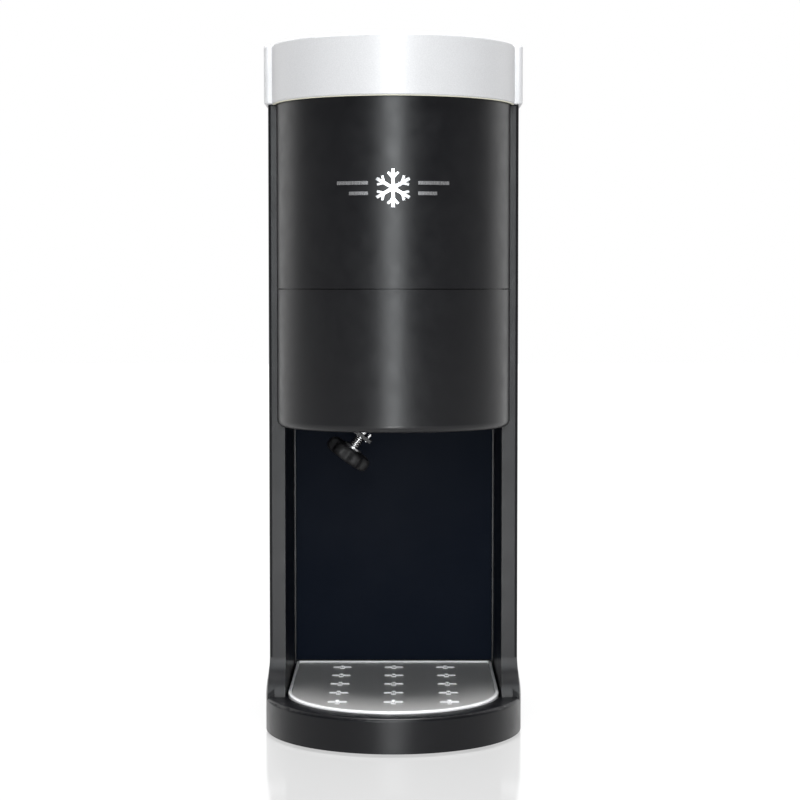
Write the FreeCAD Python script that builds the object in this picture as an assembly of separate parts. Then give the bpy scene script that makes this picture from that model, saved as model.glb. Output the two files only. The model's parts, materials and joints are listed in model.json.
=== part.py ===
"""Shaved ice machine: casing, hopper, blade unit, geared lid, motor, tray and fittings.

Millimetres, +Z up, +Y to the rear, origin on the floor under the centre of the whole machine.
The round front, the hopper and the spindle share one upright axis, at X = 0, Y = AXIS_Y.
"""
import FreeCAD, Part
import math
import os

from FreeCAD import Rotation, Vector

os.makedirs("parts", exist_ok=True)

# Driving dimensions
AXIS_Y = -27.5          # place of the spindle axis
REAR_Y = 105.9          # rearmost face of base, lid and rear cover
WALL = 2.5              # moulded wall thickness
GAP = 0.3               # clearance between parts that come apart
FEET_H = 2.0            # how far the feet stand out below the base

BASE_R = 78.4           # half width and front radius of the base
BASE_TOP = 23.0
TRAY_R = 66.2           # half width of the bay and front radius of the tray recess
WELL_FLOOR = 7.0        # top of the recess floor

COLUMN_W = 76.1         # half width of the column
COLUMN_Y = AXIS_Y - 6.0  # front face of the column
COLUMN_BACK = REAR_Y - 2.3
COLUMN_TOP = 382.7
CORNER_R = 15.0         # rear upright corners
BAY_BACK = AXIS_Y + 107.5
BAY_TOP = 189.5

SHELL_R = 71.1          # round front
SHELL_LOW = 188.0
SEAM_Z = 271.8
SEAM_GAP = 0.6

LID_R = 73.9
LID_W = 78.2            # half width over the wings
LID_LOW = 383.2
LID_TOP = 418.9
WING_Y = AXIS_Y - 9.6   # front face of the wings

HOPPER_R = 52.0         # inside radius
DECK_R = 60.0
DECK_Z = 200.0
DECK_T = 4.7
COLLAR_R = 58.0
TOP_DECK_Z = 376.0
TOP_DECK_T = 3.0

KNOB_TILT = 36.0        # angle of the knob's axis from upright, degrees
KNOB_AT = Vector(-29.8, AXIS_Y + 29.0, 166.8)
KNOB_R = 15.0
KNOB_LOW, KNOB_HIGH = -2.0, 6.6    # faces of the knob, along its axis
SCREW_R = 2.0
SCREW_END = 29.2        # along the knob's axis, short of the blade at its lowest
BLADE_TIP = 47.7        # cutting edge, along the knob's axis

MODULE = 1.5            # gear train
SPINDLE_TEETH = 60
IDLER_TEETH = 24
PINION_TEETH = 14
GEAR_Z = 388.5
GEAR_T = 8.0
BACKLASH = 0.12
PRESSURE_ANGLE = math.radians(20)

MOTOR_R = 30.0
MOTOR_LOW = 262.0
MOTOR_TOP = 345.0
SHAFT_R = 4.0

TUBE_R = 9.0            # spindle drive tube
TUBE_LOW = 300.0
TUBE_TOP = 405.0
GRIP_HEX = 10.0         # across flats
GRIP_Z = 222.0
GRIP_R = 45.0
SHAFT_TOP = 338.0
SPRING_R = 12.0         # gripper spring, to the wire's centre
WIRE_R = 0.9

IDLER_Y = AXIS_Y + MODULE * (SPINDLE_TEETH + IDLER_TEETH) / 2
MOTOR_Y = IDLER_Y + MODULE * (IDLER_TEETH + PINION_TEETH) / 2

UP = Vector(0, 0, 1)
KNOB_AXIS = Vector(math.sin(math.radians(KNOB_TILT)), 0, math.cos(math.radians(KNOB_TILT)))
KNOB_SIDE = Vector(math.cos(math.radians(KNOB_TILT)), 0, -math.sin(math.radians(KNOB_TILT)))


# Small helpers ------------------------------------------------------------------------------

def save(name, shape):
    shape.exportStep("parts/" + name + ".step")


def box(low, high):
    size = [b - a for a, b in zip(low, high)]
    return Part.makeBox(size[0], size[1], size[2], Vector(*low))


def rod(radius, low, high, x=0.0, y=AXIS_Y):
    return Part.makeCylinder(radius, high - low, Vector(x, y, low))


def ring(outer, inner, low, high, x=0.0, y=AXIS_Y):
    return rod(outer, low, high, x, y).cut(rod(inner, low - 1, high + 1, x, y))


def rod_along(radius, start, direction, length):
    return Part.makeCylinder(radius, length, start, direction)


def prism(points, low, high):
    corners = [Vector(x, y, low) for x, y in points]
    face = Part.Face(Part.makePolygon(corners + corners[:1]))
    return face.extrude(UP * (high - low))


def hexagon(flats, low, high, x=0.0, y=AXIS_Y):
    reach = flats / 2 / math.cos(math.pi / 6)
    points = [(x + reach * math.cos(math.pi / 3 * k), y + reach * math.sin(math.pi / 3 * k))
              for k in range(6)]
    return prism(points, low, high)


def round_edges(shape, radius, wanted):
    edges = [edge for edge in shape.Edges if wanted(edge)]
    return shape.makeFillet(radius, edges)


def upright(edge):
    box_ = edge.BoundBox
    return box_.XLength < 0.01 and box_.YLength < 0.01


def level_at(z):
    return lambda edge: abs(edge.BoundBox.ZMin - z) < 0.01 and abs(edge.BoundBox.ZMax - z) < 0.01


def d_prism(radius, back, low, high, corner=0.0):
    """A round front about the axis with straight sides back to a flat rear."""
    block = box((-radius, AXIS_Y, low), (radius, back, high))
    if corner:
        block = round_edges(block, corner, lambda e: upright(e) and e.BoundBox.YMin > back - 0.1)
    return block.fuse(rod(radius, low, high)).removeSplitter()


def u_block(half, front, back, low, high, corner=0.0):
    block = box((-half, front, low), (half, back, high))
    if corner:
        block = round_edges(block, corner, lambda e: upright(e) and e.BoundBox.YMin > back - 0.1)
    return block


def fuse_all(shapes):
    return shapes[0].multiFuse(shapes[1:]).removeSplitter()


def compound(shapes):
    return Part.makeCompound(shapes)


def on_knob(along, across=0.0, deep=0.0):
    """A point of the tilted knob frame: along the axis, across it and towards the rear."""
    return KNOB_AT + KNOB_AXIS * along + KNOB_SIDE * across + Vector(0, deep, 0)


def knob_rod(radius, start, end):
    return rod_along(radius, on_knob(start), KNOB_AXIS, end - start)


def knob_box(along, across, deep):
    corners = [on_knob(along[i], across[j], deep[0]) for i, j in ((0, 0), (1, 0), (1, 1), (0, 1))]
    face = Part.Face(Part.makePolygon(corners + corners[:1]))
    return face.extrude(Vector(0, deep[1] - deep[0], 0))


def pan_screw(head_r, head_h, shank_r, length, at, direction):
    """A screw whose head sits at the point and stands out along the direction."""
    way = Vector(direction)
    head = rod_along(head_r, at, way, head_h)
    shank = rod_along(shank_r, at - way * length, way, length + 0.2)
    slot = rod_along(head_r * 0.45, at + way * (head_h * 0.5), way, head_h)
    return head.fuse(shank).cut(slot).removeSplitter()


def involute_gear(teeth, low, high, x, y, phase):
    """Spur gear with involute flanks; phase turns a tooth's centre, in radians."""
    pitch_r = MODULE * teeth / 2
    base_r = pitch_r * math.cos(PRESSURE_ANGLE)
    tip_r = pitch_r + MODULE
    root_r = pitch_r - 1.25 * MODULE
    inv = lambda a: math.tan(a) - a
    half = math.pi / 2 / teeth - BACKLASH / pitch_r / 2 + inv(PRESSURE_ANGLE)
    start_r = max(base_r, root_r)
    points = []
    for k in range(teeth):
        middle = phase + 2 * math.pi * k / teeth
        flank = []
        for step in range(5):
            r = start_r + (tip_r - start_r) * step / 4
            flank.append((r, half - inv(math.acos(min(1.0, base_r / r)))))
        if root_r < base_r:
            flank.insert(0, (root_r, half))
        left = [(r, middle - a) for r, a in flank]
        right = [(r, middle + a) for r, a in reversed(flank)]
        points += [(x + r * math.cos(a), y + r * math.sin(a)) for r, a in left + right]
    return prism(points, low, high)


def coil(radius, wire, low, high, turns):
    """An upright coil spring about the origin, both ends left open."""
    path = Part.makeHelix((high - low - 2 * wire) / turns, high - low - 2 * wire, radius)
    section = Part.Wire(Part.Circle(Vector(radius, 0, 0), Vector(0, 1, 0), wire).toShape())
    spring = Part.Wire(path).makePipeShell([section], True, True)
    spring.translate(Vector(0, 0, low + wire))
    return spring


# Casing, base and panels --------------------------------------------------------------------

INLET_AT = (-30.0, 58.0)      # X and Z of the inlet on the rear wall
SWITCH_AT = (30.0, 58.0)
COVER_LOW, COVER_HIGH, COVER_W = 88.0, 366.0, 62.0
COVER_SCREWS = [(x, z) for z in (96.0, 227.0, 358.0) for x in (-56.0, 56.0)]
DECK_POSTS = [(x, y) for x in (-64.0, 64.0) for y in (AXIS_Y + 22.0, AXIS_Y + 118.0)]
FEET_AT = [(-52.0, -66.0), (52.0, -66.0), (-60.0, 86.0), (60.0, 86.0)]
PLATE_SCREWS = [(-71.9, 0.0), (71.9, 0.0), (-71.9, 60.0), (71.9, 60.0)]


FOOT_RISE = 23.0              # height of the column's foot over the base's top
FOOT_OUT = 9.0                # how far the foot comes forward of the column's face


def s_curve(start, end, ease):
    """An upright S from the start point to the end point, both (across, height) pairs."""
    (across, high), (out, low) = start, end
    return [(across, high), (across, high - ease), (out, low + ease), (out, low)]


def above_foot():
    """The space over the base's top in front of the column, with the foot's sweep as its floor."""
    poles = s_curve((COLUMN_Y, BASE_TOP + FOOT_RISE), (COLUMN_Y - FOOT_OUT, BASE_TOP), 10.0)
    curve = Part.BezierCurve()
    curve.setPoles([Vector(-90, y, z) for y, z in poles])
    far, high = AXIS_Y - 90, BASE_TOP + FOOT_RISE + 10
    corners = [poles[-1], (far, BASE_TOP), (far, high), (COLUMN_Y, high), poles[0]]
    outline = Part.makePolygon([Vector(-90, y, z) for y, z in corners])
    return Part.Face(Part.Wire([curve.toShape()] + outline.Edges)).extrude(Vector(180, 0, 0))


def flare():
    """Band round the base's edge that narrows smoothly to the column, open at the front."""
    inner = COLUMN_W - 4.0
    spread = math.asin((AXIS_Y - COLUMN_Y + FOOT_OUT) / BASE_R)
    corner = CORNER_R + 2
    turn_y = REAR_Y - corner
    rear_x = BASE_R - corner
    slant = corner * math.sin(math.pi / 4)
    front = [(BASE_R * math.cos(a), AXIS_Y - BASE_R * math.sin(a)) for a in (spread, spread / 2, 0)]
    right = [Vector(x, y, 0) for x, y in front + [
        (BASE_R, turn_y), (rear_x + slant, turn_y + slant), (rear_x, REAR_Y)]]
    left = [Vector(-v.x, v.y, 0) for v in reversed(right)]
    path = Part.Wire([
        Part.Arc(right[0], right[1], right[2]).toShape(), Part.LineSegment(right[2], right[3]).toShape(),
        Part.Arc(right[3], right[4], right[5]).toShape(), Part.LineSegment(right[5], left[0]).toShape(),
        Part.Arc(left[0], left[1], left[2]).toShape(), Part.LineSegment(left[2], left[3]).toShape(),
        Part.Arc(left[3], left[4], left[5]).toShape()])
    low, top = BASE_TOP - 6, BASE_TOP + FOOT_RISE
    corners = [(COLUMN_W, top), (inner, top), (inner, low), (BASE_R, low), (BASE_R, BASE_TOP)]
    curve = Part.BezierCurve()
    poles = s_curve((COLUMN_W, top), (BASE_R, BASE_TOP), 8.0)
    curve.setPoles([Vector(r, AXIS_Y, z) for r, z in poles])
    outline = Part.makePolygon([Vector(r, AXIS_Y, z) for r, z in corners])
    profile = Part.Wire(outline.Edges + [curve.toShape()])
    profile.rotate(Vector(0, AXIS_Y, 0), UP, -math.degrees(spread))
    return path.makePipeShell([profile], True, False).cut(above_foot())


def foot_fillets():
    """Concave sweep from each column face down into the base's top."""
    parts = []
    for side in (-1, 1):
        low, high = (TRAY_R, COLUMN_W) if side > 0 else (-COLUMN_W, -TRAY_R)
        block = box((low, COLUMN_Y - FOOT_OUT, BASE_TOP - 1), (high, COLUMN_Y + 1, BASE_TOP + FOOT_RISE))
        inside = d_prism(COLUMN_W - 2, REAR_Y, BASE_TOP - 2, BASE_TOP + FOOT_RISE + 1)
        well = rod(TRAY_R, BASE_TOP - 2, BASE_TOP + FOOT_RISE + 1)
        parts.append(block.cut(above_foot()).common(inside).cut(well))
    return parts


def casing():
    base = round_edges(d_prism(BASE_R, REAR_Y, FEET_H, BASE_TOP, CORNER_R + 2), 2.2, level_at(BASE_TOP))
    column = d_prism(COLUMN_W, COLUMN_BACK, BASE_TOP - 6, COLUMN_TOP, CORNER_R)
    column = column.common(box((-90, COLUMN_Y, 0), (90, REAR_Y, COLUMN_TOP + 1)))
    column = round_edges(column, 1.8, lambda e: upright(e) and e.BoundBox.YMax < COLUMN_Y + 0.1)
    body = fuse_all([base, column, flare()] + foot_fillets())
    # serving bay and the tray's well
    body = body.cut(box((-TRAY_R, COLUMN_Y - 40, BASE_TOP), (TRAY_R, BAY_BACK, COLUMN_TOP + 1)))
    body = body.cut(d_prism(TRAY_R, BAY_BACK, WELL_FLOOR, BASE_TOP + 1))
    # hollow of the base, from below, round the well
    under = d_prism(BASE_R - 3, REAR_Y - 3, FEET_H - 1, BASE_TOP - 3, CORNER_R)
    well = d_prism(TRAY_R + WALL, BAY_BACK + WALL, WELL_FLOOR - WALL, BASE_TOP)
    body = body.cut(under.cut(well))
    body = body.cut(d_prism(TRAY_R + 4, REAR_Y - 3, FEET_H - 1, WELL_FLOOR - WALL))
    # side wall cavities, then the compartment behind the bay
    outer = COLUMN_W - WALL
    for side in (-1, 1):
        low, high = sorted((side * (TRAY_R + WALL), side * outer))
        body = body.cut(box((low, COLUMN_Y + WALL, BASE_TOP + 3), (high, COLUMN_BACK - CORNER_R, TOP_DECK_Z)))
    room = u_block(outer, BAY_BACK + WALL, COLUMN_BACK - WALL, BASE_TOP + 3, TOP_DECK_Z, CORNER_R - WALL)
    body = body.cut(room)
    # the head: open inside behind the front shells
    body = body.cut(box((-outer, COLUMN_Y + WALL, BAY_TOP + 4), (outer, BAY_BACK + 5, TOP_DECK_Z)))
    body = body.cut(u_block(outer, COLUMN_Y + WALL, COLUMN_BACK - WALL, TOP_DECK_Z - 1, COLUMN_TOP + 1,
                            CORNER_R - WALL))
    return body.cut(compound(casing_openings())).fuse(casing_bosses()).removeSplitter()


def casing_openings():
    """Rear openings for the cover, inlet and switch, and the cover's screw holes."""
    near, far = COLUMN_BACK - WALL - 1, COLUMN_BACK + 1
    cuts = [box((-50, near, COVER_LOW + 6), (50, far, COVER_HIGH - 6))]
    cuts.append(rear_block(INLET_AT, 13.7, 10.2, near, far))
    cuts.append(rear_block(SWITCH_AT, 9.7, 6.7, near, far))
    for x, z in COVER_SCREWS:
        cuts.append(rod_along(1.5, Vector(x, near, z), Vector(0, 1, 0), 5))
    return cuts


def casing_bosses():
    """Posts for the top deck and bosses that the base plate screws into."""
    posts = []
    for x, y in DECK_POSTS:
        near, far = sorted((x, math.copysign(COLUMN_W - 1.2, x)))
        arm = box((near, y - 1.5, 340), (far, y + 1.5, TOP_DECK_Z))
        posts.append(rod(4.0, 340, TOP_DECK_Z, x, y).fuse(arm).cut(rod(1.5, 350, TOP_DECK_Z + 1, x, y)))
    for x, y in PLATE_SCREWS:
        posts.append(ring(3.4, 1.4, 4.3, BASE_TOP - 2, x, y))
    return compound(posts)


def base_plate():
    plate = d_prism(BASE_R - 3.2, REAR_Y - 3.2, FEET_H + 0.3, FEET_H + 2.3, CORNER_R)
    holes = [rod(1.6, 0, 6, x, y) for x, y in PLATE_SCREWS]
    holes += [rod(2.6, 0, 6, x, y) for x, y in FEET_AT]
    for row in range(6):
        holes.append(box((-30, 62 + row * 5, 0), (30, 64 + row * 5, 6)))
    return plate.cut(compound(holes))


def rubber_feet():
    feet = []
    for x, y in FEET_AT:
        pad = Part.makeCone(7.0, 8.5, FEET_H + 0.3, Vector(x, y, 0))
        feet.append(pad.fuse(rod(2.5, FEET_H, FEET_H + 2.4, x, y)).removeSplitter())
    return compound(feet)


def bay_back_panel():
    half, thick = TRAY_R - 1.0, 2.2
    panel = box((-half, BAY_BACK - thick, BASE_TOP + 1.5), (half, BAY_BACK, BAY_TOP - 0.5))
    return round_edges(panel, 0.6, lambda e: e.BoundBox.YMax < BAY_BACK - thick + 0.1)


def bay_ceiling():
    plate = box((-TRAY_R + 0.2, AXIS_Y, BAY_TOP), (TRAY_R - 0.2, BAY_BACK - 0.2, BAY_TOP + 3))
    front = rod(SHELL_R - WALL - 0.5, BAY_TOP, BAY_TOP + 3).common(
        box((-TRAY_R + 0.2, AXIS_Y - 80, BAY_TOP), (TRAY_R - 0.2, AXIS_Y, BAY_TOP + 3)))
    collar = rod(COLLAR_R + 2.5, BAY_TOP, DECK_Z)
    body = fuse_all([plate, front, collar]).cut(rod(COLLAR_R, BAY_TOP - 1, DECK_Z + 1))
    return round_edges(body, 1.2, lambda e: level_at(BAY_TOP)(e) and e.BoundBox.XLength > 100
                       and e.BoundBox.YLength > 110 and e.BoundBox.XLength < 117)


def rear_cover():
    plate = box((-COVER_W, COLUMN_BACK, COVER_LOW), (COVER_W, REAR_Y, COVER_HIGH))
    plate = round_edges(plate, 8.0, lambda e: e.BoundBox.YLength > 1 and e.BoundBox.XLength < 0.1)
    plate = plate.makeChamfer(0.8, [e for e in plate.Edges if e.BoundBox.YMin > REAR_Y - 0.1])
    cuts = []
    for row in range(12):
        z = 268.0 + row * 6.5
        cuts.append(box((-34, COLUMN_BACK - 1, z), (34, REAR_Y + 1, z + 2.6)))
    for row in range(5):
        z = 112.0 + row * 6.5
        cuts.append(box((-34, COLUMN_BACK - 1, z), (34, REAR_Y + 1, z + 2.6)))
    for x, z in COVER_SCREWS:
        cuts.append(rod_along(1.7, Vector(x, COLUMN_BACK - 1, z), Vector(0, 1, 0), 5))
        cuts.append(rod_along(3.4, Vector(x, REAR_Y - 1.4, z), Vector(0, 1, 0), 5))
    return plate.cut(compound(cuts))


def rear_cover_screws():
    return compound([pan_screw(3.1, 1.2, 1.4, 8, Vector(x, REAR_Y - 1.4, z), (0, 1, 0))
                     for x, z in COVER_SCREWS])


def base_plate_screws():
    return compound([pan_screw(2.6, 1.2, 1.3, 9, Vector(x, y, FEET_H + 0.3), (0, 0, -1))
                     for x, y in PLATE_SCREWS])


def top_deck():
    ledge = COLUMN_Y + WALL + 0.2
    front = rod(SHELL_R - WALL - 0.4, TOP_DECK_Z, TOP_DECK_Z + TOP_DECK_T)
    front = front.common(u_block(TRAY_R - 0.2, AXIS_Y - 90, ledge + 5, TOP_DECK_Z, TOP_DECK_Z + 9))
    rear = u_block(COLUMN_W - WALL - 0.2, ledge, COLUMN_BACK - WALL - 0.2,
                   TOP_DECK_Z, TOP_DECK_Z + TOP_DECK_T, CORNER_R - WALL)
    deck = front.fuse(rear).removeSplitter()
    deck = deck.cut(rod(HOPPER_R, TOP_DECK_Z - 1, TOP_DECK_Z + 9))
    deck = deck.cut(rod(8.5, TOP_DECK_Z - 1, TOP_DECK_Z + 9, 0, MOTOR_Y))
    deck = deck.cut(rod(2.7, TOP_DECK_Z - 1, TOP_DECK_Z + 9, *INTERLOCK_AT))
    for x, y in DECK_POSTS:
        deck = deck.cut(rod(1.7, TOP_DECK_Z - 1, TOP_DECK_Z + 9, x, y))
    return deck


# Front shells -------------------------------------------------------------------------------

def half_ring(outer, inner, low, high):
    cut_y = COLUMN_Y - 0.05
    return ring(outer, inner, low, high).common(box((-90, AXIS_Y - 90, low - 1), (90, cut_y, high + 1)))


def shell_tabs(low, high):
    """Clips at each side that reach in behind the column's front faces."""
    tabs = []
    for side in (-1, 1):
        for z in (low + 12, high - 22):
            near, far = sorted((side * (TRAY_R - 3.0), side * (TRAY_R - 0.2)))
            tabs.append(box((near, COLUMN_Y - 5, z), (far, COLUMN_Y + 8, z + 10)))
            near, far = sorted((side * (TRAY_R - 3.0), side * (SHELL_R - 2.6)))
            tabs.append(box((near, COLUMN_Y - 5, z), (far, COLUMN_Y - 2.5, z + 10)))
    return tabs


def lower_front_shell():
    high = SEAM_Z - SEAM_GAP / 2
    block = rod(SHELL_R, SHELL_LOW, high)
    block = round_edges(block, 4.4, level_at(SHELL_LOW))
    hollow = rod(SHELL_R - WALL, SHELL_LOW - 1, high + 1)
    front = box((-90, AXIS_Y - 90, SHELL_LOW - 1), (90, COLUMN_Y - 0.05, high + 1))
    skin = block.cut(hollow).common(front)
    lip = half_ring(SHELL_R - WALL + 0.01, SHELL_R - WALL - 3, SHELL_LOW + 5, SHELL_LOW + 7.5)
    root = half_ring(SHELL_R - 2, SHELL_R - WALL - 0.5, SHELL_LOW + 1.5, SHELL_LOW + 7.5)
    return fuse_all([skin, lip, root] + shell_tabs(SHELL_LOW, high))


def upper_front_shell():
    low, high = SEAM_Z + SEAM_GAP / 2, COLUMN_TOP
    skin = half_ring(SHELL_R, SHELL_R - WALL, low, high)
    rebate = half_ring(SHELL_R - WALL - GAP, SHELL_R - WALL - GAP - 1.5, low - 5, low + 3)
    bridge = half_ring(SHELL_R - WALL + 0.5, SHELL_R - WALL - GAP - 1.5, low + 1, low + 3)
    return fuse_all([skin, rebate, bridge] + shell_tabs(low, high))


BADGE_Z = 330.0


def badge():
    """A thin emblem plate on the round front: a snowflake between two short bars."""
    arms = []
    for k in range(3):
        arm = box((-11, -0.9, 0), (11, 0.9, 1))
        arm.rotate(Vector(0, 0, 0), UP, 60 * k + 30)
        arms.append(arm)
    for k in range(6):
        for side in (-1, 1):
            twig = box((0, -0.7, 0), (4.2, 0.7, 1))
            twig.rotate(Vector(0, 0, 0), UP, side * 45)
            twig.translate(Vector(6, 0, 0))
            twig.rotate(Vector(0, 0, 0), UP, 60 * k + 30)
            arms.append(twig)
    flake = fuse_all(arms)
    bars = []
    for side in (-1, 1):
        for k, length in enumerate((18.0, 11.0)):
            bar = box((0, -1.0, 0), (length, 1.0, 1))
            bar.translate(Vector(14.5, 3.0 - 6.0 * k, 0))
            if side < 0:
                bar = bar.mirror(Vector(0, 0, 0), Vector(1, 0, 0))
            bars.append(bar)
    flat = [flake] + bars
    band = ring(SHELL_R + 0.5, SHELL_R, BADGE_Z - 20, BADGE_Z + 20)
    pieces = []
    for item in flat:
        tall = item.copy()
        tall = tall.transformGeometry(stretch(100.0))
        tall.rotate(Vector(0, 0, 0), Vector(1, 0, 0), 90)
        tall.translate(Vector(0, AXIS_Y, BADGE_Z))
        pieces.append(tall.common(band))
    return compound([s for p in pieces for s in p.Solids])


def stretch(factor):
    matrix = FreeCAD.Matrix()
    matrix.scale(1, 1, factor)
    return matrix


# Hopper, deck and blade ---------------------------------------------------------------------

DECK_SCREWS = [(57.0 * math.cos(math.radians(a)), AXIS_Y + 57.0 * math.sin(math.radians(a)))
               for a in (30, 150, 210, 330)]
SLOT_Y = (AXIS_Y + 6.5, AXIS_Y + 51.5)     # front and rear ends of the blade's slot


def blade_deck():
    deck = rod(DECK_R, DECK_Z, DECK_Z + DECK_T)
    slot = knob_box((36.0, 55.0), (-1.9, 8.0), (SLOT_Y[0] - KNOB_AT.y, SLOT_Y[1] - KNOB_AT.y))
    deck = deck.cut(slot)
    for x, y in DECK_SCREWS:
        deck = deck.cut(rod(1.6, DECK_Z - 1, DECK_Z + 9, x, y))
    return deck


def hopper():
    low, high = DECK_Z + DECK_T, TOP_DECK_Z
    wall = ring(HOPPER_R + 2, HOPPER_R, low, high)
    foot = ring(DECK_R, HOPPER_R + 1, low, low + 3)
    rim = ring(HOPPER_R + 6, HOPPER_R + 1, high - 3, high)
    ribs = []
    for k in range(8):
        rib = box((HOPPER_R + 1, AXIS_Y - 1, low + 2), (HOPPER_R + 5.5, AXIS_Y + 1, high - 2))
        rib.rotate(Vector(0, AXIS_Y, 0), UP, 45 * k)
        ribs.append(rib)
    body = fuse_all([wall, foot, rim] + ribs)
    for x, y in DECK_SCREWS:
        body = body.cut(rod(1.6, low - 1, low + 9, x, y))
    return body


def deck_screws():
    top = DECK_Z + DECK_T + 3
    return compound([pan_screw(2.6, 1.8, 1.5, 7.6, Vector(x, y, top), (0, 0, 1)) for x, y in DECK_SCREWS])


def blade():
    plate = knob_box((30.5, BLADE_TIP), (-1.0, 1.0), (-19.5, 19.5))
    tip = [on_knob(BLADE_TIP + 0.1, -1.1), on_knob(BLADE_TIP + 0.1, 0.8), on_knob(BLADE_TIP - 4.7, -1.1)]
    wedge = Part.Face(Part.makePolygon(tip + tip[:1])).extrude(Vector(0, 60, 0))
    wedge.translate(Vector(0, -30, 0))
    holes = [knob_hole(33.6, y, 1.6) for y in (-12.0, 12.0)]
    return plate.cut(wedge).cut(compound(holes))


def knob_hole(along, deep, radius):
    return rod_along(radius, on_knob(along, -12, deep), KNOB_SIDE, 24)


def blade_carriage():
    plate = knob_box((23.0, 35.0), (-6.0, -1.0), (-20.0, 20.0))
    nut = knob_box((23.0, 30.3), (-6.0, 5.5), (-8.0, 8.0))
    tongues = [knob_box((24.0, 35.0), (-5.0, -2.0), side) for side in ((-22.0, -19.0), (19.0, 22.0))]
    body = fuse_all([plate, nut] + tongues)
    body = body.cut(knob_rod(SCREW_R + 0.06, 20, 31))
    return body.cut(compound([knob_hole(33.6, y, 1.3) for y in (-12.0, 12.0)]))


def blade_screws():
    return compound([pan_screw(2.6, 1.6, 1.25, 6.5, on_knob(33.6, 1.0, y), KNOB_SIDE)
                     for y in (-12.0, 12.0)])


def blade_guides():
    """Two cheeks under the deck whose grooves hold the carriage's tongues."""
    cheeks = []
    for side in (-1, 1):
        near, far = sorted((side * 20.3, side * 24.5))
        block = box((-20, KNOB_AT.y + near, 184.5), (2, KNOB_AT.y + far, DECK_Z))
        groove_deep = sorted((side * 20.2, side * 22.2))
        block = block.cut(knob_box((15, 60), (-5.06, -1.94), groove_deep))
        block = block.cut(knob_box((15, 60), (0.5, 40), (near - 1, far + 1)))
        cheeks.append(block)
    return compound(cheeks)


LUG_LOW = 15.5                # underside of the bracket's lug, along the knob's axis
PEG_R = 0.9
PEG_AT = (4.2, -3.0)          # across the knob's axis and towards the rear
WASHER_TOP = KNOB_HIGH + 1.3


def adjust_bracket():
    """Steel bracket whose tilted lug carries the adjusting screw."""
    lug = knob_box((LUG_LOW, LUG_LOW + 2.0), (-8.0, 7.0), (-7.0, 7.0))
    arm = knob_box((LUG_LOW, 30.0), (-10.5, -7.4), (-7.0, 7.0))
    foot = box((-44.0, KNOB_AT.y - 7, DECK_Z - 2.5), (-16.0, KNOB_AT.y + 7, DECK_Z))
    web = knob_box((LUG_LOW, 41.0), (-10.5, -7.4), (-7.0, 7.0)).common(
        box((-60, -60, 150), (60, 60, DECK_Z)))
    body = fuse_all([lug, arm, web, foot]).cut(knob_rod(SCREW_R + 0.06, 10, 22))
    return body.cut(peg_rod(PEG_R, LUG_LOW - 1, LUG_LOW + 3))


def peg_rod(radius, start, end):
    return rod_along(radius, on_knob(start, *PEG_AT), KNOB_AXIS, end - start)


def spring_peg():
    """Peg in the bracket's lug that keeps the friction spring's end from turning."""
    return peg_rod(PEG_R, LUG_LOW - 0.6, LUG_LOW + 5.0)


def adjust_knob():
    body = knob_rod(KNOB_R, KNOB_LOW, KNOB_HIGH)
    body = body.makeFillet(1.6, [e for e in body.Edges if e.Closed])
    scallops = []
    for k in range(9):
        angle = 2 * math.pi * k / 9
        side = KNOB_SIDE * math.cos(angle) + Vector(0, 1, 0) * math.sin(angle)
        start = on_knob(KNOB_LOW - 1) + side * (KNOB_R + 3.1)
        scallops.append(rod_along(4.0, start, KNOB_AXIS, KNOB_HIGH - KNOB_LOW + 2))
    dish = knob_rod(9.0, KNOB_LOW - 1, KNOB_LOW + 2)
    return body.cut(compound(scallops)).cut(dish)


def adjust_screw():
    shank = knob_rod(SCREW_R, KNOB_HIGH, SCREW_END)
    collar = knob_rod(2.8, LUG_LOW + 2.4, LUG_LOW + 4.0)
    grooves = []
    for k in range(9):
        at = 22.4 + k * 0.8
        grooves.append(knob_rod(SCREW_R + 0.5, at, at + 0.35).cut(knob_rod(SCREW_R - 0.3, at - 1, at + 1)))
    return shank.fuse(collar).cut(compound(grooves)).removeSplitter()


def knob_washer():
    hole = knob_rod(SCREW_R + 0.1, KNOB_HIGH, WASHER_TOP + 1)
    return knob_rod(6.0, KNOB_HIGH + 0.2, WASHER_TOP).cut(hole)


def knob_spring():
    """Friction spring round the screw, between the washer and the bracket's lug."""
    low = WASHER_TOP + 0.05
    spring = coil(2.9, 0.55, 0.0, LUG_LOW - 0.05 - low, 3.4)
    turn = Rotation(UP, KNOB_AXIS)
    spring.Placement = FreeCAD.Placement(on_knob(low), turn).multiply(spring.Placement)
    return spring


# Lid with the gear train --------------------------------------------------------------------

LID_SCREWS = [(-66.0, AXIS_Y + 30.0), (66.0, AXIS_Y + 30.0), (-62.0, AXIS_Y + 116.0), (62.0, AXIS_Y + 116.0)]
INTERLOCK_AT = (48.0, AXIS_Y + 96.0)


def lid_block(low, high, inset=0.0):
    wings = u_block(LID_W - inset, WING_Y + inset, REAR_Y - inset, low, high, CORNER_R + 3 - inset)
    if not inset:
        wings = round_edges(wings, 2.6, lambda e: upright(e) and e.BoundBox.YMax < WING_Y + 0.1)
    return wings.fuse(rod(LID_R - inset, low, high)).removeSplitter()


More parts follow.
